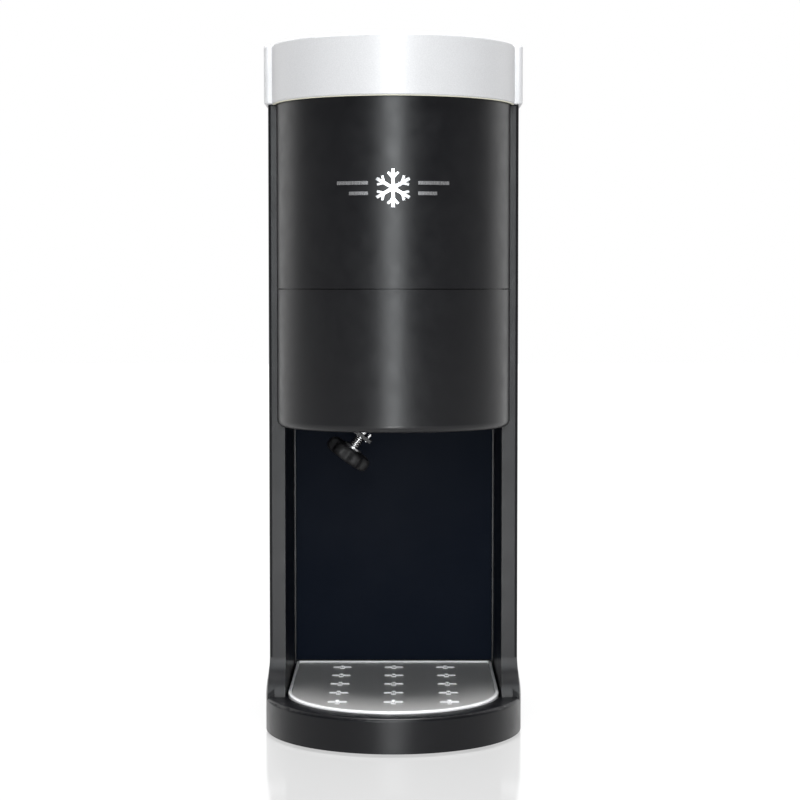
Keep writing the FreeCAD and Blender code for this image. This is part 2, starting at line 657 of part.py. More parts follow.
def lid_cover():
    block = lid_block(LID_LOW, LID_TOP)
    block = round_edges(block, 1.8, level_at(LID_TOP))
    block = block.makeChamfer(0.7, [e for e in block.Edges if level_at(LID_LOW)(e)])
    body = block.cut(lid_block(LID_LOW - 1, LID_TOP - WALL, WALL))
    bosses = [rod(4.0, LID_LOW + 3.3, LID_TOP - WALL + 0.5, x, y).cut(rod(1.4, 380, 400, x, y))
              for x, y in LID_SCREWS]
    cups = [ring(12.5, TUBE_R + 0.05, 399.5, LID_TOP - WALL + 0.5),
            ring(7.5, 4.05, 400.5, LID_TOP - WALL + 0.5, 0, MOTOR_Y),
            ring(6.5, 3.0, 400.0, LID_TOP - WALL + 0.5, 0, IDLER_Y)]
    return fuse_all([body] + bosses + cups)


def lid_base():
    plate = lid_block(LID_LOW, LID_LOW + 3.2, WALL + 0.2)
    plate = plate.cut(rod(12.0, 380, 390)).cut(rod(9.8, 380, 390, 0, MOTOR_Y))
    plate = plate.cut(rod(3.0, 380, 390, 0, IDLER_Y))
    peg = rod(4.0, LID_LOW - 0.3, LID_LOW + 1, *INTERLOCK_AT)
    plate = plate.fuse(peg)
    for x, y in LID_SCREWS:
        plate = plate.cut(rod(1.6, 380, 390, x, y))
    return plate.removeSplitter()


def lid_screws():
    return compound([pan_screw(2.8, 1.5, 1.3, 11, Vector(x, y, LID_LOW), (0, 0, -1))
                     for x, y in LID_SCREWS])


def lid_seal():
    body = ring(HOPPER_R + 7, HOPPER_R + 3, TOP_DECK_Z + TOP_DECK_T + 0.1, LID_LOW)
    return body.cut(ring(HOPPER_R + 8, HOPPER_R + 6, 380.2, 381.4))


def spindle_gear():
    gear = involute_gear(SPINDLE_TEETH, GEAR_Z, GEAR_Z + GEAR_T, 0, AXIS_Y, 0.0)
    gear = gear.cut(rod(TUBE_R, GEAR_Z - 1, GEAR_Z + GEAR_T + 1))
    lighten = [rod(6.5, GEAR_Z - 1, GEAR_Z + GEAR_T + 1, 28 * math.cos(a), AXIS_Y + 28 * math.sin(a))
               for a in [math.pi / 3 * k for k in range(6)]]
    return gear.cut(compound(lighten))


def idler_gear():
    phase = math.pi / IDLER_TEETH
    gear = involute_gear(IDLER_TEETH, GEAR_Z, GEAR_Z + GEAR_T, 0, IDLER_Y, phase)
    hub = rod(6.0, LID_LOW + 3.4, GEAR_Z + GEAR_T + 2.5, 0, IDLER_Y)
    return gear.fuse(hub).cut(rod(3.05, 380, 410, 0, IDLER_Y)).removeSplitter()


def idler_axle():
    return rod(3.0, LID_LOW, 410.0, 0, IDLER_Y)


def input_pinion():
    gear = involute_gear(PINION_TEETH, GEAR_Z, GEAR_Z + GEAR_T, 0, MOTOR_Y, -math.pi / 2)
    hub = rod(7.4, LID_LOW + 0.4, GEAR_Z + 1, 0, MOTOR_Y)
    pin = rod(4.0, GEAR_Z + GEAR_T - 1, 412.0, 0, MOTOR_Y)
    body = fuse_all([gear, hub, pin])
    return body.cut(hexagon(9.6, 380, 392.0, 0, MOTOR_Y))


def drive_tube():
    tube = rod(TUBE_R, TUBE_LOW, TUBE_TOP)
    return tube.cut(hexagon(GRIP_HEX + 0.3, TUBE_LOW - 1, TUBE_TOP - 5))


def spindle_bearing():
    body = ring(12.0, TUBE_R + 0.05, LID_LOW, LID_LOW + 5.2)
    return body.fuse(ring(14.5, TUBE_R + 0.05, LID_LOW + 3.2, LID_LOW + 5.2)).removeSplitter()


def input_bearing():
    body = ring(9.8, 7.45, LID_LOW, LID_LOW + 5.2, 0, MOTOR_Y)
    return body.fuse(ring(11.5, 7.45, LID_LOW + 3.2, LID_LOW + 5.2, 0, MOTOR_Y)).removeSplitter()


def gripper_shaft():
    return hexagon(GRIP_HEX, GRIP_Z + 3, SHAFT_TOP)


def ice_gripper():
    disc = rod(GRIP_R, GRIP_Z, GRIP_Z + 4)
    holes = [rod(7.0, GRIP_Z - 1, GRIP_Z + 9, 31 * math.cos(a), AXIS_Y + 31 * math.sin(a))
             for a in [math.pi / 3 * k + math.pi / 6 for k in range(6)]]
    disc = disc.cut(compound(holes)).cut(hexagon(GRIP_HEX, GRIP_Z + 3, GRIP_Z + 9))
    spikes = []
    for radius, count in ((18.0, 6), (40.0, 12)):
        for k in range(count):
            angle = 2 * math.pi * (k + 0.5) / count if count > 6 else 2 * math.pi * k / count
            foot = Vector(radius * math.cos(angle), AXIS_Y + radius * math.sin(angle), GRIP_Z + 0.5)
            spikes.append(Part.makeCone(2.4, 0.5, 8.5, foot, Vector(0, 0, -1)))
    collar = ring(14.0, 5.9, GRIP_Z + 4, GRIP_Z + 8)
    return fuse_all([disc, collar] + spikes)


def gripper_spring():
    spring = coil(SPRING_R, WIRE_R, 0.0, LID_LOW - 2.0 - (GRIP_Z + 8), 15.0)
    spring.translate(Vector(0, AXIS_Y, GRIP_Z + 8))
    return spring


# Motor --------------------------------------------------------------------------------------

def motor_rod(radius, low, high):
    return rod(radius, low, high, 0, MOTOR_Y)


def motor_ring(outer, inner, low, high):
    return ring(outer, inner, low, high, 0, MOTOR_Y)


def motor_can():
    body = motor_ring(MOTOR_R, MOTOR_R - 2, MOTOR_LOW + 4, MOTOR_TOP - 5)
    slots = []
    for k in range(8):
        for z in (MOTOR_LOW + 7, MOTOR_TOP - 16):
            slot = box((MOTOR_R - 5, MOTOR_Y - 3.5, z), (MOTOR_R + 5, MOTOR_Y + 3.5, z + 5))
            slot.rotate(Vector(0, MOTOR_Y, 0), UP, 45 * k + 22.5)
            slots.append(slot)
    return body.cut(compound(slots))


def motor_end_caps():
    lower = motor_ring(MOTOR_R, 8.0, MOTOR_LOW, MOTOR_LOW + 4)
    upper = motor_ring(MOTOR_R, 8.0, MOTOR_TOP - 5, MOTOR_TOP)
    for x, y in MOTOR_SCREWS:
        upper = upper.cut(rod(1.4, MOTOR_TOP - 6, MOTOR_TOP + 1, x, y))
    return compound([lower, upper])


MOTOR_SCREWS = [(20 * math.cos(a), MOTOR_Y + 20 * math.sin(a))
                for a in [math.pi / 4 + math.pi / 2 * k for k in range(4)]]


def stator():
    body = motor_ring(MOTOR_R - 2, 23.5, MOTOR_LOW + 14, MOTOR_TOP - 17)
    notches = []
    for k in range(4):
        cut = box((22, MOTOR_Y - 4, 200), (26.5, MOTOR_Y + 4, 400))
        cut.rotate(Vector(0, MOTOR_Y, 0), UP, 90 * k + 45)
        notches.append(cut)
    return body.cut(compound(notches))


def rotor():
    body = motor_rod(22.5, MOTOR_LOW + 16, MOTOR_TOP - 19)
    slots = []
    for k in range(12):
        cut = box((17, MOTOR_Y - 1.2, 200), (24, MOTOR_Y + 1.2, 400))
        cut.rotate(Vector(0, MOTOR_Y, 0), UP, 30 * k)
        slots.append(cut)
    body = body.cut(compound(slots)).fuse(motor_rod(12, MOTOR_TOP - 19, MOTOR_TOP - 9))
    return body.cut(motor_rod(SHAFT_R, 200, 400)).removeSplitter()


def motor_fan():
    disc = motor_rod(24, MOTOR_LOW + 6, MOTOR_LOW + 7.5)
    blades = []
    for k in range(9):
        vane = box((9, MOTOR_Y - 0.7, MOTOR_LOW + 7), (24, MOTOR_Y + 0.7, MOTOR_LOW + 12.5))
        vane.rotate(Vector(0, MOTOR_Y, 0), UP, 40 * k)
        blades.append(vane)
    return fuse_all([disc, motor_rod(9.5, MOTOR_LOW + 6, MOTOR_LOW + 12.5)] + blades).cut(
        motor_rod(SHAFT_R, 200, 400))


def motor_bearings():
    return compound([motor_ring(8.0, SHAFT_R + 0.05, MOTOR_LOW, MOTOR_LOW + 4),
                     motor_ring(8.0, SHAFT_R + 0.05, MOTOR_TOP - 5, MOTOR_TOP)])


def motor_shaft():
    return motor_rod(SHAFT_R, MOTOR_LOW - 3, MOTOR_TOP + 27)


def drive_coupling():
    hub = motor_ring(7.5, SHAFT_R, MOTOR_TOP + 13, MOTOR_TOP + 27)
    cap = motor_rod(7.5, MOTOR_TOP + 27, MOTOR_TOP + 29)
    dog = hexagon(9.0, MOTOR_TOP + 29, 390.0, 0, MOTOR_Y)
    dog = dog.makeChamfer(0.8, [e for e in dog.Edges if level_at(390.0)(e)])
    return fuse_all([hub, cap, dog])


def motor_bracket():
    low = MOTOR_TOP + 2
    reach = COLUMN_W - WALL
    plate = box((-reach, MOTOR_Y - 26, low), (reach, MOTOR_Y + 21, low + 3))
    for side in (-1, 1):
        near, far = sorted((side * reach, side * (reach - 2.8)))
        plate = plate.fuse(box((near, MOTOR_Y - 26, low - 22), (far, MOTOR_Y + 20, low + 1)))
    cuts = [motor_rod(11, low - 1, low + 9)]
    cuts += [rod(3.0, low - 1, low + 9, x, y) for x, y in MOTOR_SCREWS]
    return plate.cut(compound(cuts)).removeSplitter()


def motor_grommets():
    low = MOTOR_TOP
    parts = []
    for x, y in MOTOR_SCREWS:
        lower = ring(5.0, 1.6, low, low + 2, x, y)
        neck = ring(3.0, 1.6, low + 2, low + 5, x, y)
        parts.append(fuse_all([lower, neck, ring(5.0, 1.6, low + 5, low + 6.5, x, y)]))
    return compound(parts)


def motor_screws():
    return compound([pan_screw(3.2, 2.0, 1.35, 10.5, Vector(x, y, MOTOR_TOP + 6.5), (0, 0, 1))
                     for x, y in MOTOR_SCREWS])


# Electrics ----------------------------------------------------------------------------------

def rear_block(centre, half_w, half_h, near, far):
    x, z = centre
    return box((x - half_w, near, z - half_h), (x + half_w, far, z + half_h))


def power_inlet():
    """Three-pin appliance inlet: flange outside, socket body inside, pins in the recess."""
    flange = rear_block(INLET_AT, 20.0, 12.5, COLUMN_BACK, COLUMN_BACK + 1.8)
    body = rear_block(INLET_AT, 13.5, 10.0, COLUMN_BACK - 16.0, COLUMN_BACK + 1)
    recess = rear_block(INLET_AT, 12.0, 8.2, COLUMN_BACK - 14.5, COLUMN_BACK + 3)
    recess = round_edges(recess, 3.0, lambda e: e.BoundBox.YLength > 5 and e.BoundBox.ZMin > INLET_AT[1])
    parts = flange.fuse(body).cut(recess)
    for dx, dz in ((-7.0, -2.0), (0.0, 2.0), (7.0, -2.0)):
        x, z = INLET_AT[0] + dx, INLET_AT[1] + dz
        parts = parts.fuse(box((x - 1, COLUMN_BACK - 15, z - 2), (x + 1, COLUMN_BACK - 2, z + 2)))
    return parts.removeSplitter()


def switch_body():
    flange = rear_block(SWITCH_AT, 12.0, 9.0, COLUMN_BACK, COLUMN_BACK + 1.8)
    body = rear_block(SWITCH_AT, 9.5, 6.5, COLUMN_BACK - 14.0, COLUMN_BACK + 1)
    recess = rear_block(SWITCH_AT, 8.4, 5.4, COLUMN_BACK - 9.0, COLUMN_BACK + 3)
    return flange.fuse(body).cut(recess).removeSplitter()


def switch_rocker():
    """Rocker that turns about a level pin; at rest its left half stands out (off)."""
    x, z = SWITCH_AT
    low, high = z - 5.0, z + 5.0
    points = [(-7.6, 0.0), (7.6, 0.0), (7.6, 3.2), (0.0, 2.4), (-7.6, 3.2)]
    corners = [Vector(x + dx, COLUMN_BACK - 3.2 + dy, low) for dx, dy in points]
    body = Part.Face(Part.makePolygon(corners + corners[:1])).extrude(UP * (high - low))
    body = body.fuse(Part.makeCylinder(2.0, high - low, Vector(x, COLUMN_BACK - 3.2, low))).removeSplitter()
    body.rotate(Vector(x, COLUMN_BACK - 3.2, z), UP, -6.0)
    return body


def interlock_switch():
    x, y = INTERLOCK_AT
    body = box((x - 10, y - 4, 352), (x + 10, y + 4, 367))
    ears = box((x - 10, y - 4, 366), (x + 10, y + 4, TOP_DECK_Z)).cut(rod(4.5, 366, 380, x, y))
    return body.fuse(ears).cut(rod(2.6, 358, 380, x, y)).removeSplitter()


def interlock_plunger():
    x, y = INTERLOCK_AT
    body = rod(2.5, 362.0, LID_LOW - 0.6, x, y)
    return round_edges(body, 1.0, level_at(LID_LOW - 0.6))


def control_board():
    near = BAY_BACK + WALL + 2.0
    board = box((-24, near, 112), (24, near + 1.6, 172))
    parts = [box((-18, near + 1.6, 140), (-4, near + 10, 164)),
             box((4, near + 1.6, 146), (16, near + 8, 158)),
             rod_along(5.0, Vector(-10, near + 1.6, 126), Vector(0, 1, 0), 8.0),
             box((6, near + 1.6, 118), (20, near + 9, 130))]
    posts = [rod_along(2.2, Vector(x, near - 2.0, z), Vector(0, 1, 0), 2.0)
             for x in (-20, 20) for z in (116, 168)]
    return fuse_all([board] + parts + posts)


def tube_route(points, radius, bend):
    """A wire of straight runs joined by tangent arcs."""
    edges = []
    start = points[0]
    for before, corner, after in zip(points, points[1:], points[2:]):
        into = (corner - before).normalize()
        out = (after - corner).normalize()
        turn = into.getAngle(out)
        back = bend * math.tan(turn / 2)
        first, last = corner - into * back, corner + out * back
        middle = corner + (out - into).normalize() * (bend / math.cos(turn / 2) - bend)
        edges.append(Part.LineSegment(start, first).toShape())
        edges.append(Part.Arc(first, middle, last).toShape())
        start = last
    edges.append(Part.LineSegment(start, points[-1]).toShape())
    path = Part.Wire(edges)
    way = (points[1] - points[0]).normalize()
    section = Part.Wire(Part.Circle(points[0], way, radius).toShape())
    return path.makePipeShell([section], True, True)


def wire_loom():
    """Leads from the inlet and switch to the board, and from the board up to the motor."""
    y = BAY_BACK + WALL + 7.5
    routes = [([(-30, 0, 68.2), (-30, 0, 90), (-12, 0, 90), (-12, 0, 111.8)], 2.0, 7.0),
              ([(30, 0, 64.7), (30, 0, 92), (10, 0, 92), (10, 0, 111.8)], 2.0, 7.0),
              ([(0, 0, 172.2), (0, 0, 225), (12, -8, 238), (12, -8, 261.8)], 2.4, 9.0)]
    return compound([tube_route([Vector(x, y + dy, z) for x, dy, z in points], radius, bend)
                     for points, radius, bend in routes])


# Drip tray ----------------------------------------------------------------------------------

TRAY_OUT = 64.8          # outside radius of the tray's bead
TRAY_BACK = BAY_BACK - 3.2
BEAD_TOP = BASE_TOP + 1.2
GRATE_TOP = BASE_TOP + 0.2


def drip_tray():
    outer = d_prism(TRAY_OUT, TRAY_BACK, WELL_FLOOR + 0.1, BEAD_TOP, 3.0)
    outer = round_edges(outer, 0.9, level_at(BEAD_TOP))
    inner = d_prism(TRAY_OUT - 2.0, TRAY_BACK - 2.0, WELL_FLOOR + 2.1, BEAD_TOP + 1, 1.5)
    body = outer.cut(inner)
    ledge = d_prism(TRAY_OUT - 1.5, TRAY_BACK - 1.5, GRATE_TOP - 3.6, GRATE_TOP - 1.8, 1.5).cut(
        d_prism(TRAY_OUT - 4.0, TRAY_BACK - 4.0, 10, 30, 1.0))
    return body.fuse(ledge).removeSplitter()


SLOT_ARM = 6.2           # half length of a plus-shaped slot's arm
SLOT_HALF = 1.5
SLOT_PITCH_X = 33.8
SLOT_PITCH_Y = 28.8


SLOTS_AT = [(column * SLOT_PITCH_X, AXIS_Y - 31.0 + row * SLOT_PITCH_Y)
            for row in range(5) for column in (-1, 0, 1)]


def plus(at, arm, half, low, high):
    """Upright bar with a plus-shaped section."""
    x, y = at
    across = box((x - arm, y - half, low), (x + arm, y + half, high))
    along = box((x - half, y - arm, low), (x + half, y + arm, high))
    return across.fuse(along).removeSplitter()


def drip_grate():
    plate = d_prism(TRAY_OUT - 2.4, TRAY_BACK - 2.4, GRATE_TOP - 1.8, GRATE_TOP, 1.5)
    return plate.cut(compound([plus(at, SLOT_ARM, SLOT_HALF, 10, 40) for at in SLOTS_AT]))


def grate_studs():
    """White studs on the tray's floor that fill the grate's slots; a round nub stands out of each."""
    low, high, nub = WELL_FLOOR + 2.1, GRATE_TOP - 0.3, GRATE_TOP + 1.4
    studs = []
    for x, y in SLOTS_AT:
        pin = round_edges(rod(1.3, low, nub, x, y), 0.7, level_at(nub))
        studs.append(plus((x, y), SLOT_ARM - 0.5, SLOT_HALF - 0.4, low, high).fuse(pin))
    return compound(studs)


NODES = {
    "main_casing": casing, "base_plate": base_plate, "base_plate_screws": base_plate_screws,
    "rubber_feet": rubber_feet, "bay_back_panel": bay_back_panel, "bay_ceiling": bay_ceiling,
    "rear_cover": rear_cover, "rear_cover_screws": rear_cover_screws, "top_deck": top_deck,
    "lower_front_shell": lower_front_shell, "upper_front_shell": upper_front_shell, "badge": badge,
    "blade_deck": blade_deck, "hopper": hopper, "deck_screws": deck_screws,
    "blade": blade, "blade_carriage": blade_carriage, "blade_screws": blade_screws,
    "blade_guides": blade_guides, "adjust_bracket": adjust_bracket, "spring_peg": spring_peg,
    "adjust_knob": adjust_knob, "adjust_screw": adjust_screw, "knob_washer": knob_washer,
    "knob_spring": knob_spring,
    "lid_cover": lid_cover, "lid_base": lid_base, "lid_screws": lid_screws, "lid_seal": lid_seal,
    "spindle_gear": spindle_gear, "idler_gear": idler_gear, "idler_axle": idler_axle,
    "input_pinion": input_pinion, "drive_tube": drive_tube, "spindle_bearing": spindle_bearing,
    "input_bearing": input_bearing, "gripper_shaft": gripper_shaft, "ice_gripper": ice_gripper,
    "gripper_spring": gripper_spring, "motor_can": motor_can, "motor_end_caps": motor_end_caps,
    "stator": stator, "rotor": rotor, "motor_fan": motor_fan, "motor_bearings": motor_bearings,
    "motor_shaft": motor_shaft, "drive_coupling": drive_coupling, "motor_bracket": motor_bracket,
    "motor_grommets": motor_grommets, "motor_screws": motor_screws, "power_inlet": power_inlet,
    "switch_body": switch_body, "switch_rocker": switch_rocker, "interlock_switch": interlock_switch,
    "interlock_plunger": interlock_plunger, "control_board": control_board, "wire_loom": wire_loom,
    "drip_tray": drip_tray, "grate_studs": grate_studs, "drip_grate": drip_grate,
}

for node, make in NODES.items():
    shape = make()
    whole = all(solid.isValid() for solid in shape.Solids)
    print(f"{node:20s} solids {len(shape.Solids):3d} volume {shape.Volume / 1000:9.2f} cm3 valid {whole}")
    save(node, shape)
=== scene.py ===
"""Looks of the shaved ice machine: camera, studio, materials and the pieces made as meshes.

Metres, in the model's own frame: +Z up, the front faces -Y, origin on the floor.
"""
import json
import math

import bmesh
import bpy
from mathutils import Matrix, Vector


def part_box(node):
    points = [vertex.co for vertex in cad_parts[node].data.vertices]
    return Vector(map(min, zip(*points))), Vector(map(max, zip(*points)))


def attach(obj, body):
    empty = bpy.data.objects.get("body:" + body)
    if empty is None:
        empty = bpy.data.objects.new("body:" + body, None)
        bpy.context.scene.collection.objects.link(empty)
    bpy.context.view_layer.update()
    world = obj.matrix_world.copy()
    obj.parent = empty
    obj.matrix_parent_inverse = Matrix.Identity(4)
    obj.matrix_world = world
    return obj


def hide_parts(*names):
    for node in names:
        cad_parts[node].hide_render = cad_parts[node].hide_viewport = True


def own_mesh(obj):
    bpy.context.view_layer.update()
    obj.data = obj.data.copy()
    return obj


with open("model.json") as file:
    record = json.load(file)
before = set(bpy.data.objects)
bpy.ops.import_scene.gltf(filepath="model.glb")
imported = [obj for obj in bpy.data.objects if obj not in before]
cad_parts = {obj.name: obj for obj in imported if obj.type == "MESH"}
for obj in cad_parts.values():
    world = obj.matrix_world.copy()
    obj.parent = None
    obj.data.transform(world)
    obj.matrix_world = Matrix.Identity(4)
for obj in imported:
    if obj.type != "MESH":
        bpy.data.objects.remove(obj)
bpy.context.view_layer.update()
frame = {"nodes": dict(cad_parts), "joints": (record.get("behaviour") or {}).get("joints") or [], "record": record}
NODES = frame["nodes"]

# The spindle's axis, which the pieces, the lights and the camera are set from
TUBE_LOW, TUBE_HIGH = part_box("drive_tube")
AXIS_Y = (TUBE_LOW.y + TUBE_HIGH.y) / 2

# Camera, in metres from the spindle's axis and the floor
LENS = 93.9              # focal length, in millimetres
SENSOR = 36.0            # width, in millimetres
CLIP_START = 0.01
CAMERA_BACK = 1.2767
CAMERA_SIDE = 0.0040
CAMERA_UP = 0.2736
CAMERA_TILT = math.radians(3.126)

# Studio
FLOOR_HALF = 6.0         # half width of the floor
WORLD_STOPS = [(0.0, 0.03), (0.2, 0.05), (0.5, 0.26), (0.72, 0.40), (0.9, 0.95), (1.0, 1.5)]
COOL_WHITE = (0.95, 0.985, 1.0)

# Most of a noise's values lie between these two
NOISE_LOW, NOISE_HIGH = 0.3, 0.7

# Adjusting knob
LOBES = 7
LOBE_DEPTH = 0.16        # how far its hollows go in, as a share of its radius
LOBE_START = 0.66        # where they start, as a share of its radius
LOBE_SHARPNESS = 1.6     # above 1, the lobes are wider than the hollows
LOBE_SIDES = 20          # mesh columns for each lobe
KNOB_EDGE = 0.0032       # radius of the rounded rim
KNOB_BOSS = 0.0072       # radius of the low boss on top
KNOB_DISH = 0.0080       # radius of the flat in the dished underside
KNOB_DISH_DEPTH = 0.0016

# Coil springs
KNOB_WIRE = 0.00055      # wire radius
KNOB_TURNS, KNOB_CLOSED = 3.2, 0.6
GRIPPER_WIRE = 0.0009
GRIPPER_TURNS = 14.0
COIL_SIDES, COIL_STEPS = 12, 40    # mesh columns round the wire, and rings for each turn

# Studs of the tray
BAR_BELOW = 0.0003       # how far the studs' bars stop below the plate in the model
BAR_PROUD = 0.0007       # and how far they stand out of it

# Lip under the lid's front: a pale strip that paints the highlight along the lid's lower edge
LIP_INSET, LIP_DEPTH, LIP_DROP = 0.0005, 0.0014, 0.00042
LIP_STEPS = 96
WING_EDGE = 0.004        # the lid's wings have corners this near its sides
FRONT_FROM = 0.02        # the lid's front is round from this far ahead of the axis


def plain_colours():
    """White stays white: the picture keeps the scene's own values."""
    bpy.context.scene.view_settings.view_transform = "Standard"


def add_camera():
    data = bpy.data.cameras.new("camera")
    data.lens = LENS
    data.sensor_width = SENSOR
    data.clip_start = CLIP_START
    camera = bpy.data.objects.new("camera", data)
    camera.location = (CAMERA_SIDE, AXIS_Y - CAMERA_BACK, CAMERA_UP)
    camera.rotation_euler = (math.pi / 2 - CAMERA_TILT, 0, 0)
    bpy.context.scene.collection.objects.link(camera)
    bpy.context.scene.camera = camera


# Studio ---------------------------------------------------------------------------------------

def add_area(name, place, aim, size, power, colour=(1, 1, 1)):
    """A rectangular light of that width and height, in metres, and that power, in watts."""
    data = bpy.data.lights.new(name, "AREA")
    data.shape = "RECTANGLE"
    data.size, data.size_y = size
    data.energy = power
    data.color = colour
    light = bpy.data.objects.new(name, data)
    light.location = place
    way = Vector(aim) - Vector(place)
    light.rotation_euler = way.to_track_quat("-Z", "Y").to_euler()
    bpy.context.scene.collection.objects.link(light)
    return light


def grey(value):
    return (value, value, value, 1)


def add_world():
    """White seen directly; as a light it is dim in front of the machine and bright behind it.

    WORLD_STOPS pairs a place, from 0 in front (-Y) to 1 behind, with a brightness.
    """
    world = bpy.data.worlds.new("studio")
    bpy.context.scene.world = world
    world.use_nodes = True
    nodes, links = world.node_tree.nodes, world.node_tree.links
    nodes.clear()
    place = nodes.new("ShaderNodeTexCoord")
    parts = nodes.new("ShaderNodeSeparateXYZ")
    links.new(place.outputs["Generated"], parts.inputs[0])
    ramp = nodes.new("ShaderNodeValToRGB")
    ramp.color_ramp.interpolation = "B_SPLINE"
    first, last = ramp.color_ramp.elements
    first.position, last.position = WORLD_STOPS[0][0], WORLD_STOPS[-1][0]
    first.color = grey(WORLD_STOPS[0][1])
    last.color = grey(WORLD_STOPS[-1][1])
    for where, value in WORLD_STOPS[1:-1]:
        ramp.color_ramp.elements.new(where).color = grey(value)
    # A direction's Y runs from -1 to 1, and the ramp's places from 0 to 1
    scale = nodes.new("ShaderNodeMath")
    scale.operation = "MULTIPLY_ADD"
    scale.inputs[1].default_value = 0.5
    scale.inputs[2].default_value = 0.5
    links.new(parts.outputs["Y"], scale.inputs[0])
    links.new(scale.outputs[0], ramp.inputs[0])
    lit = nodes.new("ShaderNodeBackground")
    lit.inputs["Strength"].default_value = 1.0
    links.new(ramp.outputs[0], lit.inputs["Color"])
    seen = nodes.new("ShaderNodeBackground")
    seen.inputs["Color"].default_value = grey(1)
    seen.inputs["Strength"].default_value = 1.0
    path = nodes.new("ShaderNodeLightPath")
    mix = nodes.new("ShaderNodeMixShader")
    links.new(path.outputs["Is Camera Ray"], mix.inputs[0])
    links.new(lit.outputs[0], mix.inputs[1])
    links.new(seen.outputs[0], mix.inputs[2])
    out = nodes.new("ShaderNodeOutputWorld")
    links.new(mix.outputs[0], out.inputs["Surface"])


def add_floor():
    """A pale, slightly glossy floor, which glows a little so that it stays white in the open."""
    half = FLOOR_HALF
    corners = [(-half, -half, 0), (half, -half, 0), (half, half, 0), (-half, half, 0)]
    mesh = bpy.data.meshes.new("floor")
    mesh.from_pydata(corners, [], [(0, 1, 2, 3)])
    floor = bpy.data.objects.new("floor", mesh)
    bpy.context.scene.collection.objects.link(floor)
    material = bpy.data.materials.new("floor_white")
    material.use_nodes = True
    shader = material.node_tree.nodes["Principled BSDF"]
    shader.inputs["Base Color"].default_value = grey(0.20)
    shader.inputs["Roughness"].default_value = 0.12
    shader.inputs["IOR"].default_value = 1.6
    shader.inputs["Emission Color"].default_value = grey(1)
    shader.inputs["Emission Strength"].default_value = 0.52
    mesh.materials.append(material)
    return floor


def add_lights(floor):
    """A tall strip for the bright line down the front, soft light from above, and weak sides."""
    add_area("front_strip", (0, AXIS_Y - 1.42, 0.66), (0, AXIS_Y, 0.42), (0.25, 1.2), 12.1,
             COOL_WHITE)
    add_area("top_soft", (0, AXIS_Y + 0.1, 1.7), (0, AXIS_Y, 0.4), (1.4, 1.4), 8)
    add_area("bay_soft", (0, AXIS_Y - 0.36, 1.6), (0, AXIS_Y - 0.06, 0), (0.6, 0.42), 26)
    add_low_strip(floor)
    for name, side in (("left_side", -1), ("right_side", 1)):
        add_area(name, (side * 1.5, 0.9, 0.85), (0, AXIS_Y, 0.3), (0.8, 1.2), 2)


def add_low_strip(floor):
    """A small light low in front, for the highlight on the base; the floor doesn't take it."""
    light = add_area("low_strip", (0, AXIS_Y - 0.55, 0.04), (0, AXIS_Y, 0.02), (0.08, 0.05), 0.5)
    light.visible_camera = False
    unlit = bpy.data.collections.new("not_lit_by_low_strip")
    unlit.objects.link(floor)
    unlit.collection_objects[0].light_linking.link_state = "EXCLUDE"
    light.light_linking.receiver_collection = unlit


# Materials ------------------------------------------------------------------------------------

class Finish:
    """A Principled material with its node tree at hand."""

    def __init__(self, name, colour, roughness, metallic=0.0):
        self.material = bpy.data.materials.new(name)
        self.material.use_nodes = True
        self.tree = self.material.node_tree
        self.shader = self.tree.nodes["Principled BSDF"]
        self.colour = colour
        self.roughness = roughness
        self.shader.inputs["Base Color"].default_value = (*colour, 1)
        self.shader.inputs["Roughness"].default_value = roughness
        self.shader.inputs["Metallic"].default_value = metallic

    def node(self, kind):
        return self.tree.nodes.new(kind)

    def link(self, out, into):
        self.tree.links.new(out, into)

    def place(self, stretch=(1, 1, 1)):
        """Object coordinates, in metres, stretched along each axis."""
        where = self.node("ShaderNodeTexCoord")
        mapping = self.node("ShaderNodeMapping")
        mapping.inputs["Scale"].default_value = stretch
        self.link(where.outputs["Object"], mapping.inputs["Vector"])
        return mapping.outputs["Vector"]

    def noise(self, scale, detail=3.0, stretch=(1, 1, 1), rough=0.5):
        made = self.node("ShaderNodeTexNoise")
        made.inputs["Scale"].default_value = scale
        made.inputs["Detail"].default_value = detail
        made.inputs["Roughness"].default_value = rough
        self.link(self.place(stretch), made.inputs["Vector"])
        return made.outputs["Fac"]

    def between(self, factor, low, high):
        """A noise spread over low to high."""
        made = self.node("ShaderNodeMapRange")
        made.inputs["From Min"].default_value = NOISE_LOW
        made.inputs["From Max"].default_value = NOISE_HIGH
        made.inputs["To Min"].default_value = low
        made.inputs["To Max"].default_value = high
        self.link(factor, made.inputs["Value"])
        return made.outputs["Result"]

    def vary_colour(self, factor, amount):
        """The colour a little darker and lighter with the factor."""
        mix = self.node("ShaderNodeMix")
        mix.data_type = "RGBA"
        dark = [max(0.0, c * (1 - amount)) for c in self.colour]
        light = [min(1.0, c * (1 + amount)) for c in self.colour]
        # Of the mix node's sockets, these are the ones for colours
        share, first, second, result = mix.inputs[0], mix.inputs[6], mix.inputs[7], mix.outputs[2]
        first.default_value = (*dark, 1)
        second.default_value = (*light, 1)
        self.link(factor, share)
        self.link(result, self.shader.inputs["Base Color"])

    def vary_roughness(self, factor, amount):
        low, high = self.roughness - amount, self.roughness + amount
        self.link(self.between(factor, low, high), self.shader.inputs["Roughness"])

    def bump(self, factor, depth):
        """A relief of that depth, in metres."""
        made = self.node("ShaderNodeBump")
        made.inputs["Strength"].default_value = 1.0
        made.inputs["Distance"].default_value = depth
        self.link(factor, made.inputs["Height"])
        self.link(made.outputs["Normal"], self.shader.inputs["Normal"])


def moulded(name, colour, roughness, grain=2600.0, depth=0.00001, variation=0.10):
    """Moulded plastic or rubber: fine grain, faint mottling and uneven polish."""
    finish = Finish(name, colour, roughness)
    finish.vary_colour(finish.noise(38.0, 4.0), variation)
    finish.vary_roughness(finish.noise(90.0, 3.0), 0.04)
    finish.bump(finish.noise(grain, 2.0), depth)
    return finish


